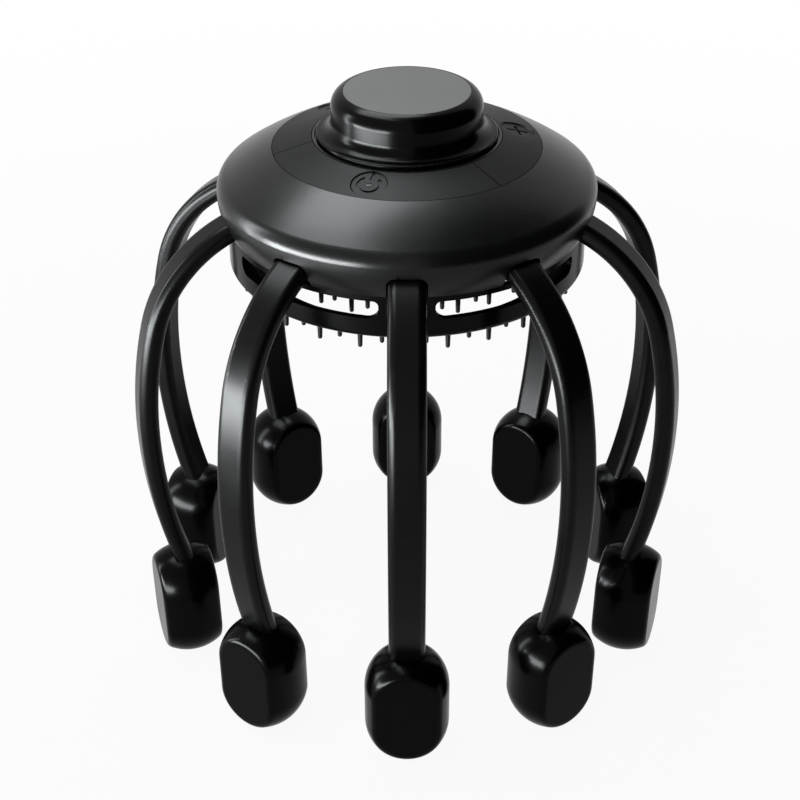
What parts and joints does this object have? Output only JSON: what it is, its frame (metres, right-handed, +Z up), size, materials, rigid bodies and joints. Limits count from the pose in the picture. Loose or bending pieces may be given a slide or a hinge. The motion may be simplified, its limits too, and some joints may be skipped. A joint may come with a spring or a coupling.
{
  "type": "electric scalp massager",
  "caption": "Domed scalp massager with a grip knob and push buttons on top, a comb underneath and a ring of springy claws with vibrating heads.",
  "frame": {"origin": "on the hub's axis, in the plane that the claw heads stand on", "axes": "+Z up along the hub's axis to the knob; -Y to the front, where the first claw is; +X to the right"},
  "size_m": [0.1768, 0.1836, 0.1961],
  "materials": {
    "dome_plastic": "satin black ABS",
    "arm_plastic": "semi-gloss black nylon",
    "gloss_black": "piano gloss black ABS",
    "button_plastic": "fine matte charcoal ABS",
    "inlay_plastic": "satin dark grey",
    "inner_plastic": "plain moulded ABS",
    "comb_rubber": "matte black silicone",
    "lens_plastic": "milky light window",
    "motor_steel": "plated can",
    "weight_alloy": "sintered alloy",
    "board_laminate": "green solder resist",
    "switch_plastic": "moulded",
    "chip_plastic": "moulded",
    "port_steel": "nickel-plated shell",
    "battery_pouch": "laminated foil pouch",
    "screw_steel": "zinc-plated"
  },
  "bodies": {
    "hub": {"arm_clamp_ring": "inner_plastic", "battery_cell": "battery_pouch", "board_parts": "chip_plastic", "bottom_housing": "inner_plastic", "bristle_ring": "comb_rubber", "charging_port": "port_steel", "comb_hoop": "gloss_black", "comb_pad": "comb_rubber", "housing_screws": "screw_steel", "knob_body": "gloss_black", "knob_inlay": "inlay_plastic", "main_board": "board_laminate", "small_screws": "screw_steel", "tact_switches": "switch_plastic", "top_housing": "dome_plastic"},
    "claw_01": {"arm_01": "arm_plastic", "head_01": "gloss_black", "motor_01": "motor_steel"},
    "weight_01": {"eccentric_01": "weight_alloy"},
    "claw_02": {"arm_02": "arm_plastic", "head_02": "gloss_black", "motor_02": "motor_steel"},
    "weight_02": {"eccentric_02": "weight_alloy"},
    "claw_03": {"arm_03": "arm_plastic", "head_03": "gloss_black", "motor_03": "motor_steel"},
    "weight_03": {"eccentric_03": "weight_alloy"},
    "claw_04": {"arm_04": "arm_plastic", "head_04": "gloss_black", "motor_04": "motor_steel"},
    "weight_04": {"eccentric_04": "weight_alloy"},
    "claw_05": {"arm_05": "arm_plastic", "head_05": "gloss_black", "motor_05": "motor_steel"},
    "weight_05": {"eccentric_05": "weight_alloy"},
    "claw_06": {"arm_06": "arm_plastic", "head_06": "gloss_black", "motor_06": "motor_steel"},
    "weight_06": {"eccentric_06": "weight_alloy"},
    "claw_07": {"arm_07": "arm_plastic", "head_07": "gloss_black", "motor_07": "motor_steel"},
    "weight_07": {"eccentric_07": "weight_alloy"},
    "claw_08": {"arm_08": "arm_plastic", "head_08": "gloss_black", "motor_08": "motor_steel"},
    "weight_08": {"eccentric_08": "weight_alloy"},
    "claw_09": {"arm_09": "arm_plastic", "head_09": "gloss_black", "motor_09": "motor_steel"},
    "weight_09": {"eccentric_09": "weight_alloy"},
    "claw_10": {"arm_10": "arm_plastic", "head_10": "gloss_black", "motor_10": "motor_steel"},
    "weight_10": {"eccentric_10": "weight_alloy"},
    "power_button": {"power_button": "button_plastic", "power_lens": "lens_plastic"},
    "plus_button": {"plus_button": "button_plastic"},
    "minus_button": {"minus_button": "button_plastic"}
  },
  "joints": [
    {"name": "claw_01_flex", "type": "hinge", "parent": "hub", "child": "claw_01", "pos_m": [0, -0.0522, 0.16], "axis": [-1, 0, 0], "range_deg": [-3, 6.5], "stiffness_Nm_per_rad": 1.2},
    {"name": "weight_01_spin", "type": "hinge", "parent": "claw_01", "child": "weight_01", "pos_m": [0, -0.08, 0.0201], "axis": [0, -0.0279, 0.9996], "continuous": true},
    {"name": "claw_02_flex", "type": "hinge", "parent": "hub", "child": "claw_02", "pos_m": [0.03068, -0.04223, 0.16], "axis": [-0.809, -0.5878, 0], "range_deg": [-3, 6.5], "stiffness_Nm_per_rad": 1.2},
    {"name": "weight_02_spin", "type": "hinge", "parent": "claw_02", "child": "weight_02", "pos_m": [0.04702, -0.06472, 0.0201], "axis": [0.0164, -0.0226, 0.9996], "continuous": true},
    {"name": "claw_03_flex", "type": "hinge", "parent": "hub", "child": "claw_03", "pos_m": [0.04965, -0.01613, 0.16], "axis": [-0.309, -0.9511, 0], "range_deg": [-3, 6.5], "stiffness_Nm_per_rad": 1.2},
    {"name": "weight_03_spin", "type": "hinge", "parent": "claw_03", "child": "weight_03", "pos_m": [0.07608, -0.02472, 0.0201], "axis": [0.0266, -0.0086, 0.9996], "continuous": true},
    {"name": "claw_04_flex", "type": "hinge", "parent": "hub", "child": "claw_04", "pos_m": [0.04965, 0.01613, 0.16], "axis": [0.309, -0.9511, 0], "range_deg": [-3, 6.5], "stiffness_Nm_per_rad": 1.2},
    {"name": "weight_04_spin", "type": "hinge", "parent": "claw_04", "child": "weight_04", "pos_m": [0.07608, 0.02472, 0.0201], "axis": [0.0266, 0.0086, 0.9996], "continuous": true},
    {"name": "claw_05_flex", "type": "hinge", "parent": "hub", "child": "claw_05", "pos_m": [0.03068, 0.04223, 0.16], "axis": [0.809, -0.5878, 0], "range_deg": [-3, 6.5], "stiffness_Nm_per_rad": 1.2},
    {"name": "weight_05_spin", "type": "hinge", "parent": "claw_05", "child": "weight_05", "pos_m": [0.04702, 0.06472, 0.0201], "axis": [0.0164, 0.0226, 0.9996], "continuous": true},
    {"name": "claw_06_flex", "type": "hinge", "parent": "hub", "child": "claw_06", "pos_m": [0, 0.0522, 0.16], "axis": [1, 0, 0], "range_deg": [-3, 6.5], "stiffness_Nm_per_rad": 1.2},
    {"name": "weight_06_spin", "type": "hinge", "parent": "claw_06", "child": "weight_06", "pos_m": [0, 0.08, 0.0201], "axis": [0, 0.0279, 0.9996], "continuous": true},
    {"name": "claw_07_flex", "type": "hinge", "parent": "hub", "child": "claw_07", "pos_m": [-0.03068, 0.04223, 0.16], "axis": [0.809, 0.5878, 0], "range_deg": [-3, 6.5], "stiffness_Nm_per_rad": 1.2},
    {"name": "weight_07_spin", "type": "hinge", "parent": "claw_07", "child": "weight_07", "pos_m": [-0.04702, 0.06472, 0.0201], "axis": [-0.0164, 0.0226, 0.9996], "continuous": true},
    {"name": "claw_08_flex", "type": "hinge", "parent": "hub", "child": "claw_08", "pos_m": [-0.04965, 0.01613, 0.16], "axis": [0.309, 0.9511, 0], "range_deg": [-3, 6.5], "stiffness_Nm_per_rad": 1.2},
    {"name": "weight_08_spin", "type": "hinge", "parent": "claw_08", "child": "weight_08", "pos_m": [-0.07608, 0.02472, 0.0201], "axis": [-0.0266, 0.0086, 0.9996], "continuous": true},
    {"name": "claw_09_flex", "type": "hinge", "parent": "hub", "child": "claw_09", "pos_m": [-0.04965, -0.01613, 0.16], "axis": [-0.309, 0.9511, 0], "range_deg": [-3, 6.5], "stiffness_Nm_per_rad": 1.2},
    {"name": "weight_09_spin", "type": "hinge", "parent": "claw_09", "child": "weight_09", "pos_m": [-0.07608, -0.02472, 0.0201], "axis": [-0.0266, -0.0086, 0.9996], "continuous": true},
    {"name": "claw_10_flex", "type": "hinge", "parent": "hub", "child": "claw_10", "pos_m": [-0.03068, -0.04223, 0.16], "axis": [-0.809, 0.5878, 0], "range_deg": [-3, 6.5], "stiffness_Nm_per_rad": 1.2},
    {"name": "weight_10_spin", "type": "hinge", "parent": "claw_10", "child": "weight_10", "pos_m": [-0.04702, -0.06472, 0.0201], "axis": [-0.0164, -0.0226, 0.9996], "continuous": true},
    {"name": "power_button_press", "type": "slide", "parent": "hub", "child": "power_button", "axis": [0, 0, -1], "range_m": [0, 0.0005], "stiffness_N_per_m": 3000},
    {"name": "plus_button_press", "type": "slide", "parent": "hub", "child": "plus_button", "axis": [0, 0, -1], "range_m": [0, 0.0005], "stiffness_N_per_m": 3000},
    {"name": "minus_button_press", "type": "slide", "parent": "hub", "child": "minus_button", "axis": [0, 0, -1], "range_m": [0, 0.0005], "stiffness_N_per_m": 3000}
  ]
}
